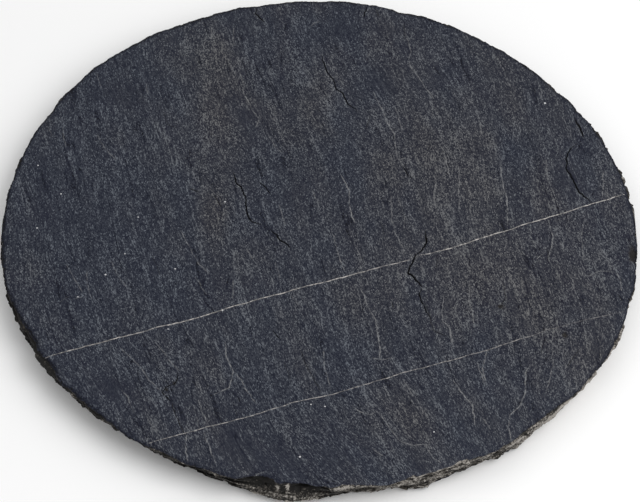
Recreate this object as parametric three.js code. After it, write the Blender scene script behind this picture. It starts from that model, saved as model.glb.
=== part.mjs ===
// A round slab of riven slate: one split stone with a hand-dressed edge.
// Millimetres, +Z up. The flat underside lies on z = 0 and the middle of the slab's box is on the Z axis.
import * as THREE from "three";

// ---- Driving sizes (millimetres and degrees) ----
const THICKNESS = 20;
const RADIUS = 199.7; // mean radius of the dressed edge
// The outline is a little out of round: a few gentle waves about the mean radius.
const WAVES = [
  { lobes: 2, height: 2.5, toward: 134 },
  { lobes: 3, height: 0.6, toward: -23 },
  { lobes: 6, height: 0.45, toward: 20 },
];

// The riven top face: a broad sway, and shallow cleavage steps that run with the grain.
const SWAY = 0.7;
const SWAY_SIZE = 110;
const STEP_HEIGHT = 0.35;
const STEP_COUNT = 4;
const STEP_WIDTH = 36;
const STEP_LENGTH = 130;
const STEP_SHARPNESS = 0.3;
const GRAIN_LEAN = 0.25; // sideways drift of the grain for each millimetre along Y

// The dressed edge: the stone's layers, from the arris down to the underside.
// "share" is how much of the local undercut the layer has, "rough" how raggedly it breaks.
const LAYERS = [
  { z: 20, share: 0, rough: 0.5 },
  { z: 18.4, share: 0, rough: 0.9 },
  { z: 15.5, share: 0.12, rough: 1.3 },
  { z: 12.5, share: 0.3, rough: 1.5 },
  { z: 9, share: 0.5, rough: 1.6 },
  { z: 5.5, share: 0.68, rough: 1.5 },
  { z: 2.5, share: 0.88, rough: 1.3 },
  { z: 0, share: 1, rough: 1.0 },
];
const BREAK_SIZE = 15; // length along the edge of one ragged break
const CHIP_FADE_DEPTH = 6; // a chip in the arris fades out this far below it

// How far the foot of the edge runs in under the arris.
const MEAN_UNDERCUT = 8.5;
const UNDERCUTS = [
  { at: -122, half: 28, more: 3.5 },
  { at: -165, half: 26, more: -4 },
  { at: -97, half: 9, more: -2 },
  { at: -82, half: 8, more: 1.5 },
  { at: -72, half: 5, more: -3.5 },
  { at: -54, half: 5, more: -2.5 },
  { at: -36, half: 16, more: 1.5 },
  { at: -8, half: 22, more: -4 },
  { at: 60, half: 40, more: -3 },
  { at: 140, half: 30, more: 2 },
];

// Flakes lost from the arris: where, half width in degrees, how far back, and how far down.
const CHIPS = [
  { at: -159, half: 7, back: 1.6, down: 0.2 },
  { at: -153, half: 4, back: 3, down: 2 },
  { at: -146, half: 4, back: 2.6, down: 2 },
  { at: -137, half: 5, back: 1.5, down: 1.2 },
  { at: -131, half: 5, back: 1.6, down: 0.2 },
  { at: -118, half: 7, back: 2, down: 0.3 },
  { at: -110, half: 4, back: 2.2, down: 1.5 },
  { at: -100.4, half: 3.6, back: 6.8, down: 1.8 },
  { at: -95.2, half: 3, back: 3.2, down: 1 },
  { at: -92.3, half: 3.6, back: 5.4, down: 2 },
  { at: -84.5, half: 6, back: 1.9, down: 0.8 },
  { at: -68, half: 12, back: 2.4, down: 0.5 },
  { at: -52, half: 5, back: 3.2, down: 0.5 },
  { at: -45.5, half: 7, back: 3.6, down: 0.4 },
  { at: -36, half: 6, back: 1.6, down: 0.4 },
  { at: 8, half: 3, back: 1, down: 1 },
  { at: 38, half: 3, back: 1, down: 1 },
  { at: 73.5, half: 3.5, back: 1.2, down: 1.2 },
  { at: 102, half: 3, back: 0.7, down: 0.5 },
  { at: 151, half: 3, back: 1, down: 1 },
];

// Layers that were left standing proud below the arris.
const LEDGES = [
  { at: -96, half: 12, out: 6, z: 6.5, depth: 6 },
  { at: -148, half: 9, out: 2, z: 14, depth: 6 },
  { at: -72, half: 4, out: 2.5, z: 4, depth: 5 },
  { at: -54, half: 4, out: 2, z: 6, depth: 5 },
  { at: 125, half: 16, out: 1.8, z: 8, depth: 5 },
];

// Where the noise starts, so that the stone is the same each time.
const SWAY_SEED = 7;
const STEP_SEED = 11;
const EDGE_SEED = 20; // each layer of the edge takes the next one

// ---- Mesh fineness ----
const RINGS = 26;
const SECTORS = 6 * RINGS;

const radians = THREE.MathUtils.degToRad;

// A repeatable number from 0 to 1 for each point of a whole-number grid.
function gridValue(i, j, seed) {
  let h = Math.imul(i, 374761393) + Math.imul(j, 668265263) + Math.imul(seed, 1442695041);
  h = Math.imul(h ^ (h >>> 13), 1274126177);
  return ((h ^ (h >>> 16)) >>> 0) / 4294967295;
}

// Smooth noise from -1 to 1 over the plane.
function noise(x, y, seed) {
  const i = Math.floor(x);
  const j = Math.floor(y);
  const u = THREE.MathUtils.smoothstep(x - i, 0, 1);
  const v = THREE.MathUtils.smoothstep(y - j, 0, 1);
  const low = THREE.MathUtils.lerp(gridValue(i, j, seed), gridValue(i + 1, j, seed), u);
  const high = THREE.MathUtils.lerp(gridValue(i, j + 1, seed), gridValue(i + 1, j + 1, seed), u);
  return 2 * THREE.MathUtils.lerp(low, high, v) - 1;
}

// Noise along the edge: the same at 0 and 360 degrees.
function edgeNoise(angle, size, seed) {
  const x = (RADIUS / size) * Math.cos(radians(angle));
  const y = (RADIUS / size) * Math.sin(radians(angle));
  return noise(x, y, seed);
}

// A bump of height 1 at one place on the edge, falling to 0 at its half width.
function bump(angle, place) {
  const away = Math.abs(THREE.MathUtils.euclideanModulo(angle - place.at + 180, 360) - 180);
  return away < place.half ? Math.cos((away / place.half) * (Math.PI / 2)) ** 2 : 0;
}

function total(places, measure) {
  return places.reduce((sum, place) => sum + measure(place), 0);
}

// Radius of the outline before any stone is broken away.
function outline(angle) {
  return RADIUS + total(WAVES, (wave) => wave.height * Math.cos(wave.lobes * radians(angle - wave.toward)));
}

// Radius of the edge at one layer.
function edgeRadius(angle, layer, seed) {
  const undercut = MEAN_UNDERCUT + total(UNDERCUTS, (place) => place.more * bump(angle, place));
  const fade = Math.max(0, 1 - (THICKNESS - layer.z) / CHIP_FADE_DEPTH);
  const chipped = total(CHIPS, (chip) => chip.back * fade * bump(angle, chip));
  const proud = total(LEDGES, (ledge) => {
    const reach = Math.max(0, 1 - Math.abs(layer.z - ledge.z) / ledge.depth);
    return ledge.out * reach * bump(angle, ledge);
  });
  const ragged = layer.rough * edgeNoise(angle, BREAK_SIZE, seed);
  return outline(angle) - layer.share * undercut - chipped + proud + ragged;
}

// Depth of the riven top face below its highest possible level.
function cleft(x, y) {
  const across = x + GRAIN_LEAN * y;
  const level = STEP_COUNT * (0.5 + 0.5 * noise(across / STEP_WIDTH, y / STEP_LENGTH, STEP_SEED));
  const tread = Math.floor(level);
  const edge = THREE.MathUtils.smoothstep(level - tread, 1 - STEP_SHARPNESS, 1);
  const sway = SWAY * (0.5 + 0.5 * noise(x / SWAY_SIZE, y / SWAY_SIZE, SWAY_SEED));
  return STEP_HEIGHT * (tread + edge) + sway;
}

// ---- The slab as one closed mesh ----
function slabGeometry() {
  const points = [];
  const triangles = [];

  // Top face: ring k has 6k points, so its triangles are all about the same size.
  const ringStart = [0];
  points.push([0, 0, -cleft(0, 0)]);
  for (let ring = 1; ring <= RINGS; ring++) {
    ringStart.push(points.length);
    for (let k = 0; k < 6 * ring; k++) {
      const angle = (360 * k) / (6 * ring);
      const radius = (ring / RINGS) * edgeRadius(angle, LAYERS[0], EDGE_SEED);
      const x = radius * Math.cos(radians(angle));
      const y = radius * Math.sin(radians(angle));
      const lost = ring === RINGS ? total(CHIPS, (chip) => chip.down * bump(angle, chip)) : 0;
      points.push([x, y, -cleft(x, y) - lost]);
    }
  }
  for (let ring = 1; ring <= RINGS; ring++) {
    const outer = (k) => ringStart[ring] + (k % (6 * ring));
    const inner = (k) => (ring === 1 ? 0 : ringStart[ring - 1] + (k % (6 * (ring - 1))));
    for (let side = 0; side < 6; side++) {
      for (let k = 0; k < ring; k++) {
        const out = side * ring + k;
        const inn = side * (ring - 1) + k;
        triangles.push([outer(out), outer(out + 1), inner(inn)]);
        if (k < ring - 1) triangles.push([inner(inn), outer(out + 1), inner(inn + 1)]);
      }
    }
  }

  // The highest point of the top face is the full thickness above the underside.
  const highest = Math.max(...points.map((point) => point[2]));
  for (const point of points) point[2] += THICKNESS - highest;

  // Edge: one ring of points for each layer below the arris.
  let above = ringStart[RINGS];
  for (let level = 1; level < LAYERS.length; level++) {
    const start = points.length;
    for (let k = 0; k < SECTORS; k++) {
      const angle = (360 * k) / SECTORS;
      const radius = edgeRadius(angle, LAYERS[level], EDGE_SEED + level);
      const x = radius * Math.cos(radians(angle));
      const y = radius * Math.sin(radians(angle));
      const rim = points[ringStart[RINGS] + k][2] / THICKNESS; // the layers thin out where the arris is low
      points.push([x, y, LAYERS[level].z * rim]);
    }
    for (let k = 0; k < SECTORS; k++) {
      const next = (k + 1) % SECTORS;
      triangles.push([above + k, start + k, start + next]);
      triangles.push([above + k, start + next, above + next]);
    }
    above = start;
  }

  // Underside: flat.
  const centre = points.length;
  points.push([0, 0, 0]);
  for (let k = 0; k < SECTORS; k++) {
    triangles.push([centre, above + ((k + 1) % SECTORS), above + k]);
  }

  const geometry = new THREE.BufferGeometry();
  geometry.setAttribute("position", new THREE.Float32BufferAttribute(points.flat(), 3));
  geometry.setIndex(triangles.flat());

  // Put the middle of the slab's box on the Z axis.
  geometry.computeBoundingBox();
  const middle = geometry.boundingBox.getCenter(new THREE.Vector3());
  geometry.translate(-middle.x, -middle.y, 0);
  geometry.computeVertexNormals();
  return geometry;
}

const slateMaterial = new THREE.MeshStandardMaterial({
  color: 0x3d3f46,
  roughness: 0.7,
  metalness: 0,
  flatShading: true,
});

const slab = new THREE.Mesh(slabGeometry(), slateMaterial);
slab.name = "slab";

const part = new THREE.Group();
part.add(slab);

export default part;
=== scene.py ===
"""The looks of a round slab of riven slate: its split face, dressed edge, cracks and pale veins.

Lengths in the tables below are in millimetres from the middle of the slab, +X to the right and -Y
towards the viewer, and angles run anticlockwise from +X in degrees. The mesh is in metres.
"""
import math

import bpy
import numpy as np
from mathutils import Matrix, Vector, kdtree
from mathutils.bvhtree import BVHTree
from mathutils.geometry import delaunay_2d_cdt


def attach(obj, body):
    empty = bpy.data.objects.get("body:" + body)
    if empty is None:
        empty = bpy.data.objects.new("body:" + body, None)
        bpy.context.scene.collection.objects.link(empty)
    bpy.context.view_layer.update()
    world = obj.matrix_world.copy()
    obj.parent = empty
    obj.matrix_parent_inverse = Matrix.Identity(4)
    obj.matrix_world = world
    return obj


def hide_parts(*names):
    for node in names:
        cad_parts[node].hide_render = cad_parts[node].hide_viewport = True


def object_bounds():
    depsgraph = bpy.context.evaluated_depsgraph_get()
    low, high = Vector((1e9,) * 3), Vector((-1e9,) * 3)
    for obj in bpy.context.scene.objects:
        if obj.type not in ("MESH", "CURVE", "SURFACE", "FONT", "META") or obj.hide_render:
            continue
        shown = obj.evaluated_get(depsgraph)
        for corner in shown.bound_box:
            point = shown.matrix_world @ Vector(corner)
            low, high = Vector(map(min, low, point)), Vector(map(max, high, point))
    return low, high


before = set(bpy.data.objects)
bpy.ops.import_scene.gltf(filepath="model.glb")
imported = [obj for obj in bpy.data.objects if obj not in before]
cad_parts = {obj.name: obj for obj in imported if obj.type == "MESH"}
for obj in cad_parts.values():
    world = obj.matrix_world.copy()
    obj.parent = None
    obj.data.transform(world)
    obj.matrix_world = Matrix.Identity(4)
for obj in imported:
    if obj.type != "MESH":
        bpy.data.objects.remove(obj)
cad_low, cad_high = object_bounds()

MM = 0.001
NODE = "slab"
TOP_Z = cad_high.z / MM
BOX_MARGIN = 0.05  # the fine surface stays this far inside the frame's box
MEAN_RADIUS = 200  # sets how many breaks and how much noise go round the edge
FACE_DROP = 0.3  # the fine relief is sunk by this, so that its heights stay under the frame's top

# ---- Mesh fineness ----
EDGE_SEGMENTS = 1248
FACE_SPACING = 1.72
UNDERSIDE_SPACING = 7.0
EDGE_RINGS = [0.5, 1.2, 2.2, 3.5]  # rings of points just inside the arris
LINE_STEP = 1.15  # spacing of points along cracks, veins and threads
LEAST_SPACING = 0.36  # of points beside cracks, veins and threads
LATTICE_REACH = 205

# ---- The grain of the stone: the way it runs, place by place (x, y, direction) ----
GRAIN = [
    (-165, 0, 100), (-143, 70, 112), (-164, 76, 98), (-125, -38, 114), (-75, -24, 118), (-48, 115, 104),
    (-28, 70, 114), (-20, 12, 106), (0, 150, 104), (12, 25, 101), (12, -20, 105), (45, 90, 112),
    (69, 122, 114), (82, 55, 99), (118, 20, 93), (146, -10, 89), (160, 110, 92), (186, -45, 95),
    (30, -62, 108), (-5, -112, 113), (-44, -125, 118), (-70, -145, 109), (-65, -172, 109),
    (-112, -115, 120), (42, -130, 116), (20, -148, 142), (50, -170, 148), (-10, -175, 148),
    (88, -132, 116), (100, -153, 112), (115, -155, 95), (140, -110, 84), (154, -104, 74), (95, -65, 95),
    (60, -60, 100),
]
GRAIN_REACH = 26
GRAIN_WANDER = 5  # degrees

# ---- Cracks: width, depth, lift of the flake on one side, and the route ----
CRACKS = [
    (0.88, 0.8, 0.2, [(2, 150), (4, 140), (7, 131), (10, 127), (11.5, 119), (16, 115.5), (19, 106),
        (23.5, 102), (25, 99)]),
    (1.1, 1.1, 0.3, [(-55, 47), (-53, 40), (-49, 33), (-47, 26.5), (-45.5, 17), (-44.5, 9), (-42, 5),
        (-36, 3)]),
    (1.1, 1, 0.3, [(-30, -2), (-24.5, -8.5), (-19, -14), (-18, -16.5)]),
    (0.75, 0.6, 0.15, [(-38.5, 39), (-34, 33), (-30.5, 28)]),
    (1.4, 1.3, 0.3, [(67, -1.5), (68, -11.5), (65, -17.5), (60, -21.5), (57.5, -30), (55.5, -36),
        (59.5, -41), (64, -48)]),
    (0.88, 0.8, 0.2, [(64, -48), (61.5, -53), (65.5, -64.5), (69, -73)]),
    (0.75, 0.6, 0.1, [(60, -21.5), (63.5, -24.5)]),
    (1.3, 0.9, 0.2, [(166.5, 94), (169, 85), (171, 77)]),
    (1.1, 1, 0.3, [(166.5, 71.5), (162, 67), (159.5, 58.5), (158.5, 50), (163, 36.5), (165.5, 29),
        (170, 24), (172.5, 20)]),
    (1, 0.8, 0.2, [(-42, 193), (-42, 188), (-36.5, 180)]),
    (0.88, 0.7, 0.2, [(32.5, 196), (30.5, 189.5), (30.5, 184.5)]),
    (0.75, 0.5, 0.1, [(53.5, 52.5), (57.5, 42.5)]),
    (0.75, 0.6, 0.1, [(-28, -82), (-24, -88.5)]),
    (0.62, 0.4, 0.1, [(-82, 33), (-77, 30.5)]),
    (0.62, 0.4, 0.1, [(-66, 26.5), (-62, 17.5)]),
    (0.62, 0.4, 0.1, [(185.5, -55), (187, -59)]),
    (0.9, 0.7, 0.1, [(-85, -114), (-85.5, -121), (-89.5, -124), (-92.5, -125), (-93.5, -129),
        (-90.5, -133.5), (-88, -136)]),
]

# ---- Veins: half width, strength, and the route; a vein may have a gap ----
VEINS = [
    (0.36, 0.95, [(-168, -103), (-165, -102.5), (-79, -73), (-59, -65.5), (-15, -50), (18.5, -39),
        (57, -25.5)]),
    (0.36, 0.95, [(58.5, -24), (87, -15), (138, 5.5), (196, 28.5)]),
    (0.3, 0.7, [(-104.5, -168), (-76.5, -158.5), (-44, -147.5), (-16.5, -137.5), (14.5, -128.5),
        (55, -113), (102.5, -97.5), (132, -85.5), (136.5, -83.5)]),
    (0.3, 0.25, [(137, -83), (164.5, -73.5), (190, -66.5)]),
]

# ---- Pale threads, the edges of thin flakes, partly their own paleness and partly a painted highlight where a flake edge faces the key light: strength and route ----
THREAD_WIDTH = 0.36  # half width
THREADS = [
    (0.6, [(-52, 134), (-50, 125), (-49, 115), (-46, 108), (-43, 100), (-39, 93)]),
    (0.55, [(-39, 92), (-41, 85)]), (0.45, [(-32, 78), (-28, 69), (-24, 64)]),
    (0.4, [(-57, 175), (-57, 158)]), (0.5, [(-72, 176), (-71, 167)]),
    (0.45, [(-6, 175), (-3, 179), (1, 181)]), (0.45, [(35, 154), (31, 144)]),
    (0.6, [(57, 173), (60, 162), (61, 152), (59, 145), (63, 134), (69, 122), (75, 111)]),
    (0.6, [(36, 116), (39, 106), (42, 99), (44, 90), (48, 83), (50, 64), (53, 52)]),
    (0.5, [(50, 102), (52, 92), (54, 83)]), (0.6, [(79, 68), (82, 57), (84, 40)]),
    (0.75, [(14, 45), (19, 31), (20, 20), (21, 10), (23, 4)]),
    (0.5, [(46, 27), (46, 10), (48, -4), (52, -14), (53, -25)]), (0.45, [(50, 27), (54, 10), (54, 1)]),
    (0.55, [(75, 37), (73, 27), (74, 16)]), (0.5, [(74, 1), (78, -9)]),
    (0.65, [(8, -2), (12, -21), (16, -35)]), (0.4, [(24, -17), (27, -30)]),
    (0.8, [(26, -49), (30, -62), (35, -74), (37, -92), (37, -103)]),
    (0.5, [(32, -103), (39, -105), (46, -103)]),
    (0.75, [(77, -57), (76, -68), (76, -74), (80, -80), (82, -94)]),
    (0.75, [(93, -43), (93, -62), (95, -73), (95, -80)]), (0.45, [(90, 48), (89, 31), (89, 13)]),
    (0.75, [(116, 53), (117, 38), (119, 25), (119, 2)]), (0.5, [(146, 57), (146, 40)]),
    (0.75, [(145, 5), (147, -7), (145, -18), (143, -28)]), (0.6, [(141, -21), (136, -26)]),
    (0.45, [(167, 5), (165, -7), (165, -28)]), (0.75, [(185, -36), (187, -43), (187, -51)]),
    (0.4, [(167, -39), (175, -35), (183, -36)]), (0.5, [(182, 47), (181, 37), (180, 25)]),
    (0.7, [(107, -95), (102, -98), (99, -111), (101, -124)]),
    (0.7, [(128, -109), (125, -115), (124, -131), (119, -141), (114, -146), (113, -157), (114, -166)]),
    (0.4, [(142, -94), (142, -109), (139, -120), (137, -128)]), (0.5, [(160, -95), (158, -107)]),
    (0.55, [(98, -149), (102, -157)]), (0.45, [(80, -83), (81, -97)]),
    (0.55, [(96, -107), (99, -119), (100, -125)]),
    (0.8, [(81, -120), (86, -130), (92, -139), (93, -153)]), (0.4, [(39, -124), (44, -136)]),
    (0.4, [(51, -120), (56, -131)]),
    (0.6, [(20, -139), (25, -144), (31, -146), (35, -143), (39, -150), (44, -159), (48, -165)]),
    (0.6, [(48, -165), (55, -168), (63, -168), (67, -176), (72, -181)]),
    (0.45, [(32, -171), (38, -176)]), (0.45, [(-100, -90), (-94, -99), (-89, -107), (-84, -113)]),
    (0.75, [(-57, -90), (-56, -101), (-51, -113), (-54, -125), (-63, -130)]),
    (0.6, [(-51, -113), (-47, -119), (-44, -126), (-37, -137)]),
    (0.55, [(-72, -135), (-69, -144), (-66, -153)]), (0.6, [(-68, -160), (-64, -172), (-60, -184)]),
    (0.6, [(-78, -160), (-79, -171), (-77, -180)]), (0.4, [(-75, -139), (-71, -156)]),
    (0.45, [(-121, -95), (-114, -103), (-107, -111), (-102, -120), (-92, -131)]),
    (0.5, [(-118, -128), (-114, -135), (-110, -145)]), (0.5, [(-102, -149), (-98, -157)]),
    (0.55, [(-129, -28), (-124, -40), (-119, -48)]), (0.4, [(-144, -34), (-143, -46), (-140, -57)]),
    (0.4, [(-157, -30), (-153, -39), (-146, -52)]), (0.6, [(-150, -58), (-146, -56)]),
    (0.4, [(-159, -60), (-154, -56)]), (0.45, [(-143, 78), (-137, 65), (-130, 57)]),
    (0.45, [(-166, 85), (-163, 68)]), (0.4, [(-176, 87), (-172, 77)]),
    (0.4, [(-146, 132), (-143, 120)]), (0.45, [(-113, 124), (-112, 115)]),
    (0.5, [(-87, -2), (-83, -10), (-75, -28), (-68, -37)]), (0.45, [(-25, 19), (-21, 2)]),
    (0.45, [(-77, -39), (-69, -53)]), (0.4, [(-4, 31), (0, 19)]), (0.4, [(-27, -28), (-24, -43)]),
    (0.5, [(-45, -18), (-40, -28)]), (0.5, [(-53, -43), (-53, -57)]), (0.4, [(-18, -53), (-12, -63)]),
    (0.5, [(3, -97), (4, -113), (7, -125)]), (1, [(-38.5, -190), (-35.5, -187.8), (-31.5, -187)]),
]

# ---- Dark partings along the grain: strength and route ----
PARTING_WIDTH = 0.36
PARTINGS = [
    (0.8, [(-11, -97), (-8, -107), (-4, -117), (1, -128)]), (0.6, [(-21, -107), (-17, -120)]),
    (0.6, [(-101, 99), (-98, 88), (-92, 85)]), (0.9, [(-83, 66), (-83, 61)]),
    (0.5, [(-104, -22), (-98, -39)]), (0.6, [(39, 5), (41, -5)]), (1, [(45, -60), (46, -65)]),
    (0.6, [(74, -22), (73, -33)]), (0.8, [(33, 94), (31, 85)]), (0.8, [(38, 193), (40, 185)]),
    (0.6, [(57, 178), (57, 165)]), (0.7, [(76, 139), (80, 131)]), (0.7, [(72, 72), (70, 65)]),
    (0.8, [(143, -18), (143, -29)]), (0.7, [(138, -88), (135, -100)]), (0.8, [(158, -97), (150, -110)]),
    (0.8, [(114, -45), (115, -57), (111, -65)]), (0.8, [(65, -60), (68, -70), (70, -82), (78, -86)]),
    (1, [(-88, -136), (-86.5, -142.5), (-82.5, -153.5), (-78.5, -162)]),
    (0.5, [(-51, 145), (-47, 131)]),
]

# ---- Small pits and hollows: x, y, half sizes along X and Y, and depth ----
HOLLOWS = [
    (-87, -122, 1.1, 1.4, 0.4), (-91.5, -127, 1, 1.6, 0.4), (196, -22, 2.6, 6.5, 1.5),
    (112, -63, 2.4, 1.6, 0.5), (150, -85, 1.6, 2.4, 0.4),
]

# ---- White specks: x, y, radius ----
SPECKS = [
    (147.7, 106.7, 0.9), (-132.3, -38.3, 0.75), (-89.3, -32.7, 0.7), (-163.7, 28.1, 0.6),
    (-177.2, -0.1, 0.7), (-114, 9.4, 0.6), (-121, -21.4, 0.6), (-179.8, 52, 0.55), (-59.4, 21.4, 0.75),
    (-59, -66, 0.6), (-92, -81, 0.55), (-11, -177, 0.8), (-4.6, -138.4, 0.6), (3.8, -139.6, 0.6),
    (68.5, -158.8, 0.6), (-148.4, -56.3, 0.6),
]

# ---- Patches of warmer, browner stone (x, y, half sizes, amount); below 0 the stone is bluer ----
TINTS = [
    (-67, 100, 14, 62, 0.9), (-66, 15, 9, 16, 0.8), (1, 118, 9, 26, 0.6), (95, 60, 60, 75, 0.5),
    (110, -30, 55, 50, 0.5), (30, -60, 30, 40, 0.2), (150, -85, 30, 40, 0.45), (45, -150, 30, 18, 0.35),
    (6, 175, 22, 14, -0.6), (125, 62, 16, 22, -0.5), (-140, 0, 55, 120, -0.5), (10, -100, 40, 30, -0.3),
]

# ---- Smooth areas, below 0, and rough, paler ones (x, y, half sizes, amount) ----
ROUGH_AREAS = [
    (14, 175, 9, 9, -1), (47, 125, 18, 13, -1), (80, 132, 5, 9, -1), (158, 92, 6, 10, -1),
    (-62, 156, 6, 13, -1), (126, -50, 8, 19, -1), (162, 47, 8, 15, -1), (-17, -178, 36, 10, -1),
    (-50, -166, 16, 13, -1), (60, -181, 6, 7, -1), (-127, -126, 15, 11, -1), (-134, 118, 14, 14, -1),
    (44, 173, 10, 9, -1), (165, -97, 7, 10, -1), (-45, 92, 12, 12, -1), (-74, 150, 8, 22, 1),
    (-73, 70, 9, 24, 1), (-57, 5, 7, 15, 1), (-14, 132, 7, 18, 1), (8, 102, 5, 20, 1),
    (46, 87, 11, 20, 1), (86, 65, 10, 27, 1), (47, -179, 13, 6, 1), (182, -20, 7, 16, 1),
    (136, -15, 7, 8, 1), (144, -94, 8, 21, 1), (112, -50, 5, 12, 1), (-93, -120, 8, 20, 1),
    (94, -50, 8, 32, 1), (4, -109, 3, 12, 1),
]

# ---- Tones of the broken edge, darker below 0, with painted light and shade (angle, half width, z, half height, amount) ----
# The dark back is painted shade and the dark left partly painted shade, on the sides away from the key
# light; the pale front right is partly the stone's dusty colour and partly painted light; the two narrow
# bright facets near -96 are painted highlights.
EDGE_TONES_LIGHT_AND_SHADE = [
    (-99, 12, 10, 40, -0.3), (-99.5, 4.5, 6, 4, 0.8), (-92, 4, 4, 2.5, 0.8), (-88, 2.5, 10, 8, -0.6),
    (-82, 5, 17, 3, 0.6), (-76, 9, 10, 40, 0.35), (-63, 10, 10, 40, 0.05), (-44, 12, 10, 40, 1.25),
    (-33, 10, 10, 40, 0.8), (-17, 13, 10, 40, 0.2), (-130, 30, 10, 40, -1), (-165, 25, 10, 40, -0.6),
    (40, 50, 10, 40, -0.8), (120, 50, 10, 40, -0.8), (180, 20, 10, 40, -0.8), (-97, 0.3, 13.5, 2, 4.5),
    (-95.3, 0.3, 13.5, 2.5, 4.8), (-91, 1.3, 7, 3, 1), (-98, 5, 4, 3, 0.7), (-57.5, 1.2, 9, 4, -1.6),
    (-52, 0.8, 17, 3, -1.8), (-44.5, 1, 16, 3, -1.8), (-6.5, 2.2, 13, 7, -1.8),
    (-42, 14, 18.3, 1.3, -2), (-66, 10, 17.5, 2, 0.4), (-40, 8, 10, 4, 0.5),
]

# ---- Deeper hollows in the edge (angle, half width, z, half height, depth) ----
EDGE_HOLLOWS = [
    (-99.9, 2.5, 15.5, 3.8, 5), (-92.5, 3.1, 14.5, 5, 6), (-111, 2.2, 14, 4, 2.5), (-141, 3, 13, 4, 2),
    (-152, 3.5, 13, 4, 2), (-125, 3, 13, 4, 1.6), (-49, 1.2, 13, 4, 2.2), (-42.5, 1, 15, 3, 1.8),
    (-72, 1.4, 12, 4, 1.6), (-81, 1.2, 9, 4, 1.6), (-57.7, 0.8, 6, 3, -2.2), (-55, 1.5, 4, 4, 2.5),
]

# ---- Long flakes lost from the arris (angle, half width, how far back) ----
SETBACKS = [(-155, 5, 0.8), (-148, 3.5, 2.0), (-118.5, 5.5, 0.5), (-98.2, 1.8, 2.8)]

# ---- Layers of the edge, from the arris down (thicknesses, which are scaled to fit) ----
LAYERS = [0.9, 2.2, 1.3, 2.8, 1.1, 2.4, 1.7, 1.3, 2.6, 1.6, 2.1]
LAYER_GAP = 0.1  # half the height of the step between two layers
BED_STRETCH = 4  # the edge's beds are drawn out along it this many times

# ---- Colours (linear) ----
COOL_STONE = (0.0211, 0.0234, 0.0256)
WARM_STONE = (0.0264, 0.0261, 0.0242)
# A bluish offset added to the face's colour: a painted sheen that stands for the face's bluish specular
# reflection.
PAINTED_BLUE_SHEEN = (0.0, 0.0014, 0.0117)
VEIN = (0.20, 0.19, 0.18)
VEIN_BRIGHT = (0.55, 0.52, 0.49)
# THREAD is partly the threads' own paleness, partly a painted highlight on flake edges facing the key
# light.
THREAD = (0.25, 0.25, 0.25)
SPECK = (0.55, 0.55, 0.56)
# HOLLOW darkens the face's pits: partly their own brown, partly painted shade inside them.
HOLLOW = (0.013, 0.011, 0.009)
# CRACK is near-black painted shade in the narrow gaps of the cracks and partings.
CRACK = (0.006, 0.006, 0.007)
# EDGE_DARK also gives the painted shade of the edge's recesses, hollows, foot and sides away from the key
# light; EDGE_PALE is partly painted light on the side towards it.
EDGE_DARK = (0.010, 0.0095, 0.009)
EDGE_MID = (0.075, 0.068, 0.060)
EDGE_PALE = (0.31, 0.29, 0.265)

# ---- Camera and studio ----
CAMERA_DISTANCE = 1.8
CAMERA_ELEVATION = 50.2
CAMERA_LENS = 162.15
AIM = (0.8, -19.9)  # the camera looks at this point of the top face's level
KEY_DIRECTION = (0.7, -0.3, 0.8)
KEY_DISTANCE = 1.8
KEY_SIZE = 1.6
KEY_POWER = 20
SKY_STRENGTH = 0.72
FLOOR_HALF = 6.0
FLOOR_COLOUR = (0.93, 0.93, 0.93)


# ---- Noise and small sums ----
def grid_value(i, j, seed):
    """A repeatable number from -1 to 1 for each point of a whole-number grid."""
    h = (i * 374761393 + j * 668265263 + seed * 1442695041) & 0xFFFFFFFF
    h = ((h ^ (h >> 13)) * 1274126177) & 0xFFFFFFFF
    return (h ^ (h >> 16)) / 2147483647.5 - 1.0


def noise(x, y, seed):
    """Smooth noise from -1 to 1."""
    x, y = np.broadcast_arrays(np.asarray(x, float), np.asarray(y, float))
    i, j = np.floor(x).astype(np.int64), np.floor(y).astype(np.int64)
    u, v = x - i, y - j
    u, v = u * u * u * (u * (6 * u - 15) + 10), v * v * v * (v * (6 * v - 15) + 10)
    low = grid_value(i, j, seed) * (1 - u) + grid_value(i + 1, j, seed) * u
    high = grid_value(i, j + 1, seed) * (1 - u) + grid_value(i + 1, j + 1, seed) * u
    return low * (1 - v) + high * v


def rough(x, y, seed, octaves=3):
    """Noise with finer and fainter noise added."""
    return sum(noise(x * 2**k, y * 2**k, seed + k) * 0.55**k for k in range(octaves))


def ramp(value, low, high):
    """0 below low, 1 above high, smooth between."""
    t = np.clip((value - low) / (high - low), 0, 1)
    return t * t * (3 - 2 * t)


def between(grid, u, v):
    """A grid's value at any place, where u and v count its rows and columns."""
    i, j = u.astype(int), v.astype(int)
    f, g = u - i, v - j
    low = grid[i, j] * (1 - f) + grid[i + 1, j] * f
    high = grid[i, j + 1] * (1 - f) + grid[i + 1, j + 1] * f
    return low * (1 - g) + high * g


def around(angle, at):
    """How far an angle is from another, in degrees, the short way round."""
    return np.abs((angle - at + 180) % 360 - 180)


def bearing(xy):
    """The direction of each point from the middle, in degrees from 0 to 360."""
    return np.degrees(np.arctan2(xy[:, 1], xy[:, 0])) % 360


# ---- What the frame gives: the edge's radius and height layer by layer, and the height of the face ----
def frame_points():
    co = np.array([v.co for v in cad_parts[NODE].data.vertices], float) / MM
    return np.unique(np.round(co, 3), axis=0)


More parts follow.
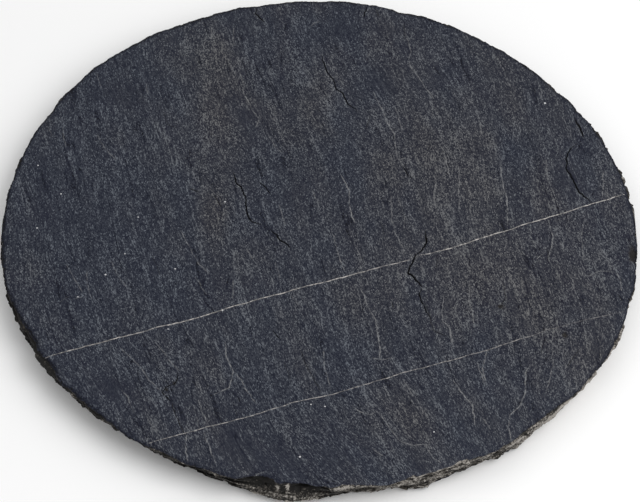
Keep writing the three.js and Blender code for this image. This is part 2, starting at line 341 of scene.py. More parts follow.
def frame_edge(points):
    """The frame's edge as arrays [sector, layer] of radius and height, and the middle of its sectors."""
    low = points[points[:, 2] < 0.01]
    middle = low[np.argmin(np.hypot(low[:, 0], low[:, 1])), :2]
    away = points[:, :2] - middle
    radius = np.hypot(away[:, 0], away[:, 1])
    angle = bearing(away)
    sectors = int(np.sum((points[:, 2] < 0.01) & (radius > 10)))
    columns = []
    for k in range(sectors):
        near = (around(angle, 360 * k / sectors) < 0.1) & (radius > 0.9 * radius.max())
        found = np.column_stack([radius[near], points[near, 2]])
        # A point on the top face inside the arris isn't part of the edge.
        on_top = (found[:, 1] > 0.65 * TOP_Z) & (found[:, 0] < found[:, 0].max() - 5.5)
        if len(found) > 8:
            found = found[~on_top]
        columns.append(found[np.argsort(-found[:, 1])])
    edge = np.array(columns)
    return edge[:, :, 0], edge[:, :, 1], middle


def smooth_around(values, angle):
    """Values given at even sectors, read at any angle by a curve through them (periodic in the angle)."""
    count = len(values)
    t = np.asarray(angle) / 360 * count
    i = np.floor(t).astype(int)
    f = (t - i)[..., None] if values.ndim > 1 else t - i
    a, b, c, d = (values[(i + k) % count] for k in (-1, 0, 1, 2))
    return b + 0.5 * f * (c - a + f * (2 * a - 5 * b + 4 * c - d + f * (3 * (b - c) + d - a)))


points = frame_points()
edge_radius, edge_height, middle = frame_edge(points)


class FaceHeight:
    """Height of the frame's top face, smoothed so that its facets don't show."""

    CELL = 3.0
    SPAN = 71

    def __init__(self):
        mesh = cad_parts[NODE].data
        mesh.calc_loop_triangles()
        corners = [v.co for v in mesh.vertices]
        tree = BVHTree.FromPolygons(corners, [t.vertices for t in mesh.loop_triangles])
        steps = (np.arange(2 * self.SPAN + 1) - self.SPAN) * self.CELL
        grid = np.zeros((len(steps), len(steps)))
        for i, x in enumerate(steps):
            for j, y in enumerate(steps):
                angle = math.degrees(math.atan2(y, x)) % 360
                limit = float(smooth_around(edge_radius[:, 0], angle)) - 9
                k = min(1.0, limit / max(math.hypot(x, y), 1e-6))
                px, py = x * k + middle[0], y * k + middle[1]
                hit = tree.ray_cast(Vector((px * MM, py * MM, 1.0)), Vector((0, 0, -1)))[0]
                grid[i, j] = hit.z / MM
        for _ in range(3):
            grid = self.blur(self.blur(grid).T).T
        self.grid = grid

    @staticmethod
    def blur(grid):
        padded = np.pad(grid, ((1, 1), (0, 0)), mode="edge")
        return (padded[:-2] + 2 * padded[1:-1] + padded[2:]) / 4

    def at(self, x, y):
        u = np.clip(x / self.CELL + self.SPAN, 0, 2 * self.SPAN - 1e-6)
        v = np.clip(y / self.CELL + self.SPAN, 0, 2 * self.SPAN - 1e-6)
        return between(self.grid, u, v)


face = FaceHeight()


# ---- The grain: coordinates across it and along it, each nearly true to scale all over the face ----
def grain_direction(x, y):
    """The way the grain runs, in radians."""
    total, weight = 0, 0
    for gx, gy, direction in GRAIN:
        w = np.exp(-((x - gx) ** 2 + (y - gy) ** 2) / (2 * GRAIN_REACH**2)) + 1e-4
        total = total + w * direction
        weight = weight + w
    return np.radians(total / weight + GRAIN_WANDER * noise(x / 26, y / 40, 92))


class GrainMap:
    """Coordinates that follow the grain, found on a square grid and read anywhere between."""

    CELL = 10.0
    HALF = 21
    ROUNDS = 6000

    def __init__(self):
        steps = np.arange(-self.HALF, self.HALF + 1) * self.CELL
        x, y = np.meshgrid(steps, steps, indexing="ij")
        on_x = grain_direction(x[:-1] + self.CELL / 2, y[:-1])
        on_y = grain_direction(x[:, :-1], y[:, :-1] + self.CELL / 2)
        self.across = self.solve(x, np.sin(on_x), -np.cos(on_y))
        self.along = self.solve(y, np.cos(on_x), np.sin(on_y))

    def solve(self, start, slope_x, slope_y):
        """The surface whose slopes are nearest to those given."""
        neighbours = np.full(start.shape, 4.0)
        for side in (0, -1):
            neighbours[side, :] -= 1
            neighbours[:, side] -= 1
        rise_x, rise_y = slope_x * self.CELL, slope_y * self.CELL
        value = start.astype(float)
        for _ in range(self.ROUNDS):
            total = np.zeros_like(value)
            total[:-1] += value[1:] - rise_x
            total[1:] += value[:-1] + rise_x
            total[:, :-1] += value[:, 1:] - rise_y
            total[:, 1:] += value[:, :-1] + rise_y
            value = total / neighbours
        return value

    def at(self, x, y):
        u = np.clip(np.asarray(x) / self.CELL + self.HALF, 0, 2 * self.HALF - 1e-6)
        v = np.clip(np.asarray(y) / self.CELL + self.HALF, 0, 2 * self.HALF - 1e-6)
        return between(self.across, u, v), between(self.along, u, v)


grain_map = GrainMap()


# ---- Lines on the face: cracks, veins and threads ----
def trace(route, wobble, seed):
    """The route as evenly spaced points, with a small sideways wander."""
    route = np.array(route, float)
    lengths = np.hypot(*np.diff(route, axis=0).T)
    along = np.concatenate([[0], np.cumsum(lengths)])
    count = max(3, int(round(along[-1] / LINE_STEP)) + 1)
    s = np.linspace(0, along[-1], count)
    line = np.column_stack([np.interp(s, along, route[:, 0]), np.interp(s, along, route[:, 1])])
    normal = normals_of(line)
    ends = np.minimum(1, np.minimum(s, along[-1] - s) / 4)
    wander = (noise(s / 5, 0.5, seed) + 0.7 * noise(s / 2.3, 0.5, seed + 1)) * wobble * ends
    return line + normal * wander[:, None]


def normals_of(line):
    direction = np.gradient(line, axis=0)
    direction /= np.hypot(*direction.T)[:, None] + 1e-9
    return np.column_stack([-direction[:, 1], direction[:, 0]])


def beside(line, offset):
    return line + normals_of(line) * offset


def from_line(xy, line, reach):
    """The points within reach of a line: which they are, how far off, 1 to its right or -1 to its left,
    and how far along it from 0 to 1.
    """
    low, high = line.min(0) - reach, line.max(0) + reach
    near = np.nonzero(np.all((xy >= low) & (xy <= high), axis=1))[0]
    best = np.full(len(near), 1e9)
    side, place = np.ones(len(near)), np.zeros(len(near))
    for k in range(len(line) - 1):
        a, b = line[k], line[k + 1]
        d = b - a
        p = xy[near] - a
        t = np.clip(p @ d / (d @ d), 0, 1)
        q = p - t[:, None] * d
        dist = np.hypot(q[:, 0], q[:, 1])
        closer = dist < best
        best[closer] = dist[closer]
        side[closer] = np.sign(q[closer, 0])
        place[closer] = (k + t[closer]) / (len(line) - 1)
    return near, best, side, place


def taper(place, sharpness=6):
    """1 along most of a line, falling to 0 at its ends."""
    return np.sqrt(np.clip(np.minimum(place, 1 - place) * sharpness, 0, 1))


def traced(table, wobble, seed):
    """The line of each row of a table. A row ends with its route."""
    return [trace(row[-1], wobble, seed + 7 * k) for k, row in enumerate(table)]


crack_lines = traced(CRACKS, 0.75, 300)
vein_lines = traced(VEINS, 0.28, 500)
thread_lines = traced(THREADS, 0.6, 700)
parting_lines = traced(PARTINGS, 0.4, 1500)


# ---- The edge: fine outline of the arris, and the ragged layers below it ----
angles = np.arange(EDGE_SEGMENTS) * 360 / EDGE_SEGMENTS
cos_a, sin_a = np.cos(np.radians(angles)), np.sin(np.radians(angles))


def toward(values, xy):
    """Values given at the edge's angles, read in the direction of each point."""
    return np.interp(bearing(xy), angles, values, period=360)


def edge_noise(size, seed, octaves=1):
    """Noise along the edge that closes on itself."""
    reach = MEAN_RADIUS / size
    return rough(reach * cos_a + 7.3, reach * sin_a + 3.1, seed, octaves)


def broken(size, seed):
    """Straight-sided breaks along the edge, from -1 to 1, about size millimetres long."""
    rng = np.random.default_rng(seed)
    count = int(2 * math.pi * MEAN_RADIUS / size)
    at = np.sort(rng.uniform(0, 360, count))
    value = rng.uniform(-1, 1, count)
    straight = np.interp(angles, at, value, period=360)
    return 0.65 * straight + 0.35 * value[np.searchsorted(at, angles) % count]


def nicks():
    """Small flakes missing from the arris, as a depth for each angle."""
    small = np.maximum(0, broken(2.4, 40) - 0.2) * 1.4
    large = np.maximum(0, broken(7, 44) - 0.35) * 2.8
    return (small + large) * (0.55 + 0.45 * patch(angles, 0, -75, 75, 0, 1))


def arris_radius():
    base = smooth_around(edge_radius[:, 0], angles)
    for at, half, back in SETBACKS:
        base = base - back * np.exp(-((around(angles, at) / half) ** 2))
    return base - nicks() + 0.2 * edge_noise(2.6, 48, 2) - 0.2


def patch(angle, z, at, half, mid, half_z):
    """1 in the middle of a patch of the edge, falling to 0 around it."""
    return np.exp(-((around(angle, at) / half) ** 2) - ((z - mid) / half_z) ** 2)


def patches(table, angle, z):
    return sum(amount * patch(angle, z, at, half, mid, half_z) for at, half, mid, half_z, amount in table)


def frame_radius(height):
    """The frame's radius at each angle, at the given height for each."""
    radii, heights = smooth_around(edge_radius, angles), smooth_around(edge_height, angles)
    result = np.empty(EDGE_SEGMENTS)
    for k in range(EDGE_SEGMENTS):
        result[k] = np.interp(height[k], heights[k, ::-1], radii[k, ::-1])
    return result


def edge_rows(arris_z):
    """Rows of points down the edge, layer by layer: each row's radius, height and paleness, which holds
    painted light and shade too.
    """
    share = np.cumsum(LAYERS) / sum(LAYERS)
    arris = arris_radius()
    rows = []
    top = arris_z
    for layer in range(len(LAYERS)):
        last = layer == len(LAYERS) - 1
        bottom = arris_z * (1 - share[layer]) + (0 if last else 0.4 * broken(9, 60 + layer))
        proud = 1.2 * broken(6, 80 + layer) + 0.8 * broken(2.4, 100 + layer)
        proud += 0.8 * broken(13, 70 + layer // 3)
        lost = 2.4 * np.maximum(0, broken(9, 120 + layer) - 0.25)
        bed_tone = 0.35 * broken(16, 180 + layer)
        for z in (top - LAYER_GAP, bottom + LAYER_GAP):
            z = np.maximum(z, 0.2)
            plain = frame_radius(z)
            hollow = patches(EDGE_HOLLOWS, angles, z)
            radius = plain + (0.5 if layer == 0 else 1.0) * (proud - lost) - hollow
            radius += 0.22 * edge_noise(1.3, 140 + 3 * len(rows), 1)
            if layer == 0:
                radius = np.minimum(radius, arris + 0.8)
            # Paleness also holds painted light and shade: darker where the edge is set back or hollowed,
            # lighter where it stands proud, and darker along the foot as a painted shadow where the slab
            # meets the floor.
            pale = patches(EDGE_TONES_LIGHT_AND_SHADE, angles, z) + bed_tone + 0.3 * (proud - lost) - 0.36 * hollow
            pale -= 1.3 * np.exp(-((z / 1.8) ** 2))
            rows.append((radius, z, pale))
        top = bottom
    return rows


# ---- The top face ----
def face_points(rim):
    """Points all over the face: rings by the rim, close ones along the lines, and a lattice elsewhere."""
    close = []
    radius = np.hypot(rim[:, 0], rim[:, 1])
    for k, inset in enumerate(EDGE_RINGS):
        step = 1 if k < 2 else 2
        close.append((rim * ((radius - inset) / radius)[:, None])[::step])
    for (width, _, _, _), line in zip(CRACKS, crack_lines):
        close += [line] + [beside(line, s * d) for s in (-1, 1) for d in (0.5 * width, 0.5 * width + 0.9)]
    for line in vein_lines:
        close += [line] + [beside(line, s) for s in (-0.9, 0.9)]
    for line in thread_lines + parting_lines:
        close += [line] + [beside(line, s) for s in (-0.7, 0.7)]
    for x, y, size in SPECKS:
        turn = np.radians(np.arange(0, 360, 60))
        ring = np.column_stack([np.cos(turn), np.sin(turn)])
        close.insert(0, np.concatenate([[[x, y]], [x, y] + size * ring, [x, y] + 2 * size * ring]))
    close = thin_out(np.concatenate(close), LEAST_SPACING)

    tree = kdtree.KDTree(len(close))
    for k, (x, y) in enumerate(close):
        tree.insert((x, y, 0), k)
    tree.balance()
    rng = np.random.default_rng(5)
    rows = np.arange(-LATTICE_REACH, LATTICE_REACH, FACE_SPACING * math.sqrt(3) / 2)
    columns = np.arange(-LATTICE_REACH, LATTICE_REACH, FACE_SPACING)
    x, y = np.meshgrid(columns, rows)
    x[1::2] += FACE_SPACING / 2
    x, y = x + rng.uniform(-0.28, 0.28, x.shape), y + rng.uniform(-0.28, 0.28, y.shape)
    lattice = np.column_stack([x.ravel(), y.ravel()])
    lattice = lattice[np.hypot(*lattice.T) < toward(radius, lattice) - EDGE_RINGS[-1] - 0.8]
    clear = np.array([tree.find((px, py, 0))[2] > 0.62 * FACE_SPACING for px, py in lattice])
    close = close[np.hypot(*close.T) < toward(radius, close) - 0.3]
    return np.concatenate([close, lattice[clear]])


def thin_out(xy, spacing):
    """Leaves out points that are closer than spacing to an earlier one."""
    tree = kdtree.KDTree(len(xy))
    for k, (x, y) in enumerate(xy):
        tree.insert((x, y, 0), k)
    tree.balance()
    kept = np.ones(len(xy), bool)
    for k, (x, y) in enumerate(xy):
        if kept[k]:
            for _, other, _ in tree.find_range((x, y, 0), spacing):
                if other > k:
                    kept[other] = False
    return xy[kept]


def triangulate(rim, inner):
    """Triangles over a closed rim and the points inside it. The rim's points come first."""
    count = len(rim)
    coords = [Vector((x, y)) for x, y in np.concatenate([rim, inner])]
    loop = [(k, (k + 1) % count) for k in range(count)]
    out = delaunay_2d_cdt(coords, loop, [list(range(count))], 1, 1e-7)
    xy = np.array([tuple(v) for v in out[0]])
    triangles = np.array([tuple(f) for f in out[2]])
    origin = [o[0] if o else -1 for o in out[3]]
    order = np.full(len(xy), -1)
    for new, old in enumerate(origin):
        if 0 <= old < count:
            order[new] = old
    others = np.nonzero(order < 0)[0]
    order[others] = count + np.arange(len(others))
    moved = np.empty_like(xy)
    moved[order] = xy
    return moved, order[triangles]


def terraces(across, along):
    """Shallow cleavage steps that follow the grain."""
    level = 3.2 * rough(across / 15, along / 80, 21, 2) + 0.5 * noise(across / 4, along / 30, 25)
    tread = np.floor(level)
    return tread + ramp(level - tread, 0.78, 1.0)


DISTANCES = ["crack", "vein", "thread", "parting", "speck"]  # marks that say how far off a thing is
AMOUNTS = ["vein_strength", "thread_strength", "parting_strength", "hollow", "shade"]
FAR = 4.0


def face_relief(xy, across, along):
    """Height of the face above the frame's own face, and the marks that the finish needs."""
    x, y = xy.T
    height = 0.17 * terraces(across, along)
    height += 0.11 * rough(across / 6, along / 26, 31, 3) + 0.05 * rough(x / 2.6, y / 3.4, 35, 2)
    marks = {name: np.full(len(xy), FAR) for name in DISTANCES}
    marks.update({name: np.zeros(len(xy)) for name in AMOUNTS})
    for (width, depth, lift, _), line in zip(CRACKS, crack_lines):
        near, dist, side, place = from_line(xy, line, 14)
        gape = 0.75 + 0.65 * noise(place * len(line) / 3, 0.5, 61)
        half = 0.5 * width * gape * np.maximum(taper(place), 0.12)
        height[near] -= depth * taper(place) * np.clip(1 - dist / half, 0, 1)
        bend = taper(place, 3) * np.exp(-dist / 3.5)
        height[near] += np.where(side > 0, 0.35 * lift, -lift) * bend
        marks["crack"][near] = np.minimum(marks["crack"][near], dist / half)
        # Beside the crack the face is lightened, its west side most: a painted highlight where the raised
        # side faces the key light.
        lip_highlight = np.where(side < 0, 0.55, 0.15) * np.exp(-((dist - 1.5) ** 2))
        marks["shade"][near] += lip_highlight * width * taper(place)
    drawn = [("vein", half, strength, line) for (half, strength, _), line in zip(VEINS, vein_lines)]
    for key, half, table, lines in (("thread", THREAD_WIDTH, THREADS, thread_lines),
                                    ("parting", PARTING_WIDTH, PARTINGS, parting_lines)):
        drawn += [(key, half, strength, line) for (strength, _), line in zip(table, lines)]
    for key, half, strength, line in drawn:
        near, dist, side, place = from_line(xy, line, 6)
        value = dist / (half * np.maximum(taper(place, 12), 0.3))
        closer = value < marks[key][near]
        marks[key][near[closer]] = value[closer]
        marks[key + "_strength"][near[closer]] = strength
        if key == "thread":
            rise = np.where(side > 0, 0.1, -0.06) * taper(place, 3)
            height[near] += rise * strength * np.exp(-dist / 2.5)
            # West of the thread the face is darkened: painted shade on the side turned away from the key
            # light.
            lee_shade = np.where(side < 0, np.exp(-((dist - 1.3) ** 2) / 0.6), 0)
            marks["shade"][near] -= 0.75 * strength * taper(place) * lee_shade
        if key == "parting":
            height[near] -= 0.3 * strength * taper(place) * np.exp(-((dist / 0.5) ** 2))
    for sx, sy, size in SPECKS:
        marks["speck"] = np.minimum(marks["speck"], np.hypot(x - sx, y - sy) / size)
    for hx, hy, rx, ry, depth in HOLLOWS:
        d = np.hypot((x - hx) / rx, (y - hy) / ry) + 0.25 * noise(x / 1.5, y / 1.5, 51)
        inside = 1 - ramp(d, 0.5, 1.25)
        height -= depth * inside
        marks["hollow"] = np.maximum(marks["hollow"], inside)
    return height, marks


def spread(areas, xy):
    """Sum of soft areas, each given by its middle, half sizes and amount."""
    x, y = xy.T
    total = np.zeros(len(xy))
    for tx, ty, rx, ry, amount in areas:
        total += amount * np.exp(-(((x - tx) / rx) ** 2) - ((y - ty) / ry) ** 2)
    return total


# ---- The slab as one closed mesh ----
def build_slab():
    radius = arris_radius()
    rim = np.column_stack([radius * cos_a, radius * sin_a]) + middle
    top_xy, top_triangles = triangulate(rim, face_points(rim))
    across, along = grain_map.at(*top_xy.T)
    relief, marks = face_relief(top_xy, across, along)
    turn = bearing(top_xy)
    inset = np.clip(toward(radius, top_xy) - np.hypot(*top_xy.T), 0, None)
    frame_rim = smooth_around(edge_height[:, 0], turn)
    smooth_face = face.at(*top_xy.T)
    base = smooth_face + (frame_rim - smooth_face) * np.exp(-inset / 2.6)
    arris_drop = 0.5 * np.exp(-inset / 0.9) + 0.12 * np.exp(-inset / 4)
    top_z = np.minimum(base + relief - FACE_DROP - arris_drop, TOP_Z - BOX_MARGIN)
    front, back = patch(turn, 0, -75, 45, 0, 1), patch(turn, 0, 90, 60, 0, 1)
    # A dark band along the arris, all round but the front: painted shade where the arris falls away from
    # the light.
    marks["shade"] -= 2.8 * (1 - front) * np.exp(-((inset / (0.85 + back)) ** 2))

    # Edge rows, then the underside.
    arris_z = top_z[:EDGE_SEGMENTS]
    rows = edge_rows(arris_z)
    foot_radius = frame_radius(np.zeros(EDGE_SEGMENTS)) + 1.0 * broken(6, 160) + 0.6 * broken(2.4, 161)
    foot = np.column_stack([foot_radius * cos_a, foot_radius * sin_a]) + middle
    under_xy, under_triangles = triangulate(foot, underside_points(foot))
    under_z = 0.5 * np.maximum(0, rough(under_xy[:, 0] / 30, under_xy[:, 1] / 60, 171) - 0.1)
    under_z[:EDGE_SEGMENTS] = 0

    verts = [np.column_stack([top_xy, top_z])]
    for r, z, _ in rows:
        verts.append(np.column_stack([r * cos_a + middle[0], r * sin_a + middle[1], z]))
    first_row = len(top_xy)
    first_under = first_row + len(rows) * EDGE_SEGMENTS
    verts.append(np.column_stack([under_xy, under_z]))
    verts = np.concatenate(verts)
    low = np.array(cad_low) / MM + BOX_MARGIN * np.array([1, 1, 0])
    high = np.array(cad_high) / MM - BOX_MARGIN
    verts = np.clip(verts, low, high)

    # Triangles. In parts, 0 is the top, 1 the edge and 2 the underside.
    k = np.arange(EDGE_SEGMENTS)
    n = (k + 1) % EDGE_SEGMENTS
    starts = [0] + [first_row + j * EDGE_SEGMENTS for j in range(len(rows))] + [first_under]
    edge_faces = []
    for upper, lower in zip(starts[:-1], starts[1:]):
        edge_faces.append(np.column_stack([upper + k, lower + k, lower + n]))
        edge_faces.append(np.column_stack([upper + k, lower + n, upper + n]))
    faces = np.concatenate([upward(verts, top_triangles), *edge_faces,
                            upward(verts, under_triangles + first_under)[:, ::-1]])
    parts = np.repeat([0, 1, 2], [len(top_triangles), sum(map(len, edge_faces)), len(under_triangles)])

    mesh = bpy.data.meshes.new("slate_slab")
    mesh.vertices.add(len(verts))
    mesh.vertices.foreach_set("co", (verts * MM).astype(np.float32).ravel())
    mesh.loops.add(3 * len(faces))
    mesh.loops.foreach_set("vertex_index", faces.astype(np.int32).ravel())
    mesh.polygons.add(len(faces))
    mesh.polygons.foreach_set("loop_start", np.arange(0, 3 * len(faces), 3, dtype=np.int32))
    mesh.update(calc_edges=True)
    mesh.validate()
    mesh.polygons.foreach_set("use_smooth", parts != 1)
    mesh.set_sharp_from_angle(angle=math.radians(34))

    write_marks(mesh, verts, len(top_xy), first_under, marks, rows)
    write_map(mesh, verts, faces, parts, len(rows), first_row, first_under)
    slab = bpy.data.objects.new("slate_slab", mesh)
    bpy.context.scene.collection.objects.link(slab)
    return slab


def underside_points(foot):
    reach = int(MEAN_RADIUS / UNDERSIDE_SPACING) + 1
    steps = np.arange(-reach, reach + 1) * UNDERSIDE_SPACING
    x, y = np.meshgrid(steps, steps)
    x[1::2] += UNDERSIDE_SPACING / 2
    xy = np.column_stack([x.ravel(), y.ravel()])
    radius = np.hypot(*foot.T)
    rings = [foot[::2] * ((radius[::2] - 1.5) / radius[::2])[:, None],
             foot[::4] * ((radius[::4] - 4.0) / radius[::4])[:, None]]
    return np.concatenate([*rings, xy[np.hypot(*xy.T) < toward(radius, xy) - 8]])


def upward(verts, triangles):
    """The triangles with their corners in the order that faces them up."""
    a, b, c = (verts[triangles[:, k], :2] for k in range(3))
    turn = (b[:, 0] - a[:, 0]) * (c[:, 1] - a[:, 1]) - (b[:, 1] - a[:, 1]) * (c[:, 0] - a[:, 0])
    return np.where(turn[:, None] > 0, triangles, triangles[:, ::-1])


def write_marks(mesh, verts, top_count, first_under, marks, rows):
    """Point attributes that the finish reads."""
    total = len(verts)

    def put(name, values):
        full = np.full(total, FAR if name in DISTANCES else 0.0, np.float32)
        full[:len(values)] = values
        mesh.attributes.new(name, "FLOAT", "POINT").data.foreach_set("value", full)

    for name, values in marks.items():
        put(name, values)
    put("warm", spread(TINTS, verts[:, :2]))
    put("coarse", spread(ROUGH_AREAS, verts[:, :2]))
    edge = np.zeros(total)
    edge[top_count:first_under] = 1
    put("edge", edge)
    pale = np.zeros(total)
    pale[top_count:first_under] = np.concatenate([row[2] for row in rows])
    pale[:EDGE_SEGMENTS] = rows[0][2]
    put("pale", pale)
    grain = np.column_stack([*grain_map.at(verts[:, 0], verts[:, 1]), verts[:, 2]])

    # Drawn in to a smaller circle, the edge is shorter while its depth and height stay as they are.
    radius = np.maximum(np.hypot(*verts[:, :2].T), 1)
    drawn_in = ((radius - MEAN_RADIUS * (1 - 1 / BED_STRETCH)) / radius)[:, None]
    beds = np.column_stack([verts[:, :2] * drawn_in, verts[:, 2]])
    for name, places in (("grain", grain), ("beds", beds)):
        vector = mesh.attributes.new(name, "FLOAT_VECTOR", "POINT")
        vector.data.foreach_set("vector", (places * MM).astype(np.float32).ravel())


def write_map(mesh, verts, faces, parts, row_count, first_row, first_under):
    """A flat map for baking: the top a large disc, the underside a small one, and the edge 4 strips."""
    disc = 201.0  # a little more than the slab's greatest radius
    corner = verts[faces]
    uv = np.empty((len(faces), 3, 2))
    top, edge, under = parts == 0, parts == 1, parts == 2
    uv[top] = np.array([0.39, 0.61]) + 0.385 * corner[top][:, :, :2] / disc
    uv[under] = np.array([0.81, 0.19]) + 0.18 * corner[under][:, :, :2] / disc

    index = faces[edge]
    in_rows = (index >= first_row) & (index < first_under)
    above = index < first_row
    segment = np.where(above, index, index - first_under)
    segment = np.where(in_rows, (index - first_row) % EDGE_SEGMENTS, segment)
    row = np.where(above, 0, row_count + 1)
    row = np.where(in_rows, (index - first_row) // EDGE_SEGMENTS + 1, row)
    start = segment.min(axis=1)
    wraps = segment.max(axis=1) - start > 1
    start = np.where(wraps, EDGE_SEGMENTS - 1, start)
    segment = np.where(wraps[:, None] & (segment == 0), EDGE_SEGMENTS, segment)
    per_strip = EDGE_SEGMENTS // 4
    strip = start // per_strip
    along = (segment - (strip * per_strip)[:, None]) / per_strip * 0.6
    down = row / (row_count + 1) * 0.065
    place = np.empty((len(index), 3, 2))
    for k, (x, y, upright) in enumerate([(0.82, 0.39, True), (0.905, 0.39, True), (0.01, 0.02, False),
                                         (0.01, 0.105, False)]):
        mine = strip == k
        a, b = (down[mine], along[mine]) if upright else (along[mine], down[mine])
        place[mine] = np.stack([x + a, y + b], axis=-1)
    uv[edge] = place
    layer = mesh.uv_layers.new(name="OFBake")
    layer.data.foreach_set("uv", uv.astype(np.float32).ravel())


# ---- The finish ----
class Value:
    """A shader node's output that can be added, multiplied and so on."""

    def __init__(self, shader, socket):
        self.shader, self.socket = shader, socket

    def join(self, operation, other, swapped=False):
        pair = (other, self) if swapped else (self, other)
        made = self.shader.node("Math", {"operation": operation}, i0=pair[0], i1=pair[1])
        return self.shader.value(made)

    def __add__(self, other):
        return self.join("ADD", other)

    def __sub__(self, other):
        return self.join("SUBTRACT", other)

    def __mul__(self, other):
        return self.join("MULTIPLY", other)

    def __rpow__(self, other):
        return self.join("POWER", other, swapped=True)

    def __abs__(self):
        return self.shader.value(self.shader.node("Math", {"operation": "ABSOLUTE"}, i0=self))

    def at_most(self, limit):
        return self.join("MINIMUM", limit)

    def ramp(self, low, high, to_low=0.0, to_high=1.0):
        """to_low below low, to_high above high, smooth between."""
        made = self.shader.node("MapRange", {"interpolation_type": "SMOOTHSTEP"}, i0=self, i1=low, i2=high,
                                i3=to_low, i4=to_high)
        return self.shader.value(made)

    __radd__ = __add__


class Shader:
    """Adds shader nodes to one material. An input may be a number, a colour or a Value."""

    def __init__(self, name):
        self.material = bpy.data.materials.new(name)
        self.material.use_nodes = True
        self.tree = self.material.node_tree
        self.tree.nodes.clear()

    def node(self, kind, settings=None, **inputs):
        """A node of the given kind. Inputs are named, or numbered as i0, i1 and so on."""
        made = self.tree.nodes.new("ShaderNode" + kind)
        for key, value in (settings or {}).items():
            setattr(made, key, value)
        for key, value in inputs.items():
            numbered = key[0] == "i" and key[1:].isdigit()
            socket = made.inputs[int(key[1:]) if numbered else key.replace("_", " ")]
            if isinstance(value, Value):
                self.tree.links.new(value.socket, socket)
            elif socket.type == "RGBA":
                socket.default_value = (*value, 1.0)
            else:
                socket.default_value = value
        return made

    def value(self, node, output=0):
        return Value(self, node.outputs[output])

    def attribute(self, name, output="Fac"):
        return self.value(self.node("Attribute", {"attribute_name": name}), output)

    def scaled(self, vector, factors):
        return self.value(self.node("VectorMath", {"operation": "MULTIPLY"}, i0=vector, i1=factors))

    def moved(self, vector, offset):
        return self.value(self.node("VectorMath", {"operation": "ADD"}, i0=vector, i1=(offset,) * 3))

    def noise(self, vector, size, detail=2.0, roughness=0.5, distortion=0.0):
        """Noise from about -0.5 to 0.5 whose features are about size metres across."""
        made = self.node("TexNoise", Vector=vector, Scale=1 / size, Detail=detail, Roughness=roughness,
                         Distortion=distortion)
        return self.value(made) - 0.5

    def grains(self, vector, size):
        """A number from -0.5 to 0.5 for each small cell of the stone."""
        cells = self.node("TexVoronoi", Vector=vector, Scale=1 / size)
        return self.value(self.node("SeparateColor", i0=self.value(cells, "Color"))) - 0.5

    def mix(self, share, a, b, blend="MIX"):
        return self.value(self.node("MixRGB", {"blend_type": blend}, Fac=share, i1=a, i2=b))


def hairlines(s, grain, size, stretch, seed):
    """Fine lines that wander along the grain and come and go."""
    place = s.moved(s.scaled(grain, (1, stretch, 1)), seed)
    swing = abs(s.noise(place, size, 1, 0.5, 0.8))
    width = 0.00026 / size
    return swing.ramp(0.2 * width, width, 1.0, 0.0) * s.noise(place, size * 1.1, 1).ramp(0.04, 0.14)


def face_finish(s, grain):
    """Colour and fine relief of the riven face."""
    # The streaks (fine, medium, strokes) are partly the stone's own tone and partly painted light and
    # shade of fine relief; the pale hairlines (lines) are partly painted highlights on flake edges and the
    # dark ones (partings) partly painted shade.
    crumbs = s.grains(s.scaled(grain, (1, 0.42, 1)), 0.00042)
    fine = s.noise(s.scaled(grain, (1, 0.22, 1)), 0.00062, 2, 0.7)
    medium = s.noise(s.scaled(grain, (1, 0.2, 1)), 0.003, 2, 0.55)
    strokes = s.noise(s.scaled(grain, (1, 0.09, 1)), 0.0011, 1, 0.5)
    where = s.noise(s.scaled(grain, (1, 0.4, 1)), 0.019, 2).ramp(-0.12, 0.16)
    lines = hairlines(s, grain, 0.008, 0.11, 0.3) + hairlines(s, grain, 0.0045, 0.13, 0.9) * 0.8
    lines = lines + hairlines(s, grain, 0.0028, 0.16, 2.6) * 0.7
    partings = hairlines(s, grain, 0.0065, 0.13, 1.7)
    warm = s.noise(s.scaled(grain, (1, 0.35, 1)), 0.022, 3, 0.55) * 1.9 + s.attribute("warm")
    # The face beside each thread is lightened with it, partly the same painted highlight.
    by_thread = s.attribute("thread").ramp(0.8, 3.6, 1.0, 0.0) * s.attribute("thread_strength")

    coarse = s.attribute("coarse") + s.noise(s.scaled(grain, (1, 0.45, 1)), 0.016, 2) * 1.6
    speckle = crumbs * 3.25 + crumbs.ramp(0.38, 0.5) * 1.1 + fine * 1.2
    speckle = speckle * (1.0 + warm * 0.12 + coarse * 0.45)
    light = speckle + medium * 0.3
    light = light + strokes.ramp(0.0, 0.3, -0.12, 1.0) * (0.4 + where * 1.1 + warm * 0.3)
    light = light + lines * (1.15 + crumbs * 1.9) + partings * -1.3 + warm * 0.16 + coarse * 0.22
    # The shade mark adds painted highlights beside cracks and painted shade beside threads and along the
    # arris.
    light = (light + by_thread * (crumbs * 1.4 + 0.2)).at_most(2.35) + s.attribute("shade")
    tone = 2.0 ** light
    grey = s.value(s.node("CombineXYZ", i0=tone, i1=tone, i2=tone))
    stone = s.mix(warm.ramp(-0.5, 0.9), COOL_STONE, WARM_STONE)
    # The bluish offset is a painted sheen, faded out where the face is darkest.
    colour = s.mix(tone.ramp(0.05, 0.4), s.mix(1.0, stone, grey, "MULTIPLY"), PAINTED_BLUE_SHEEN, "ADD")
    return colour, fine * 0.5 + medium * 0.7 + lines * 0.25 - partings * 0.3


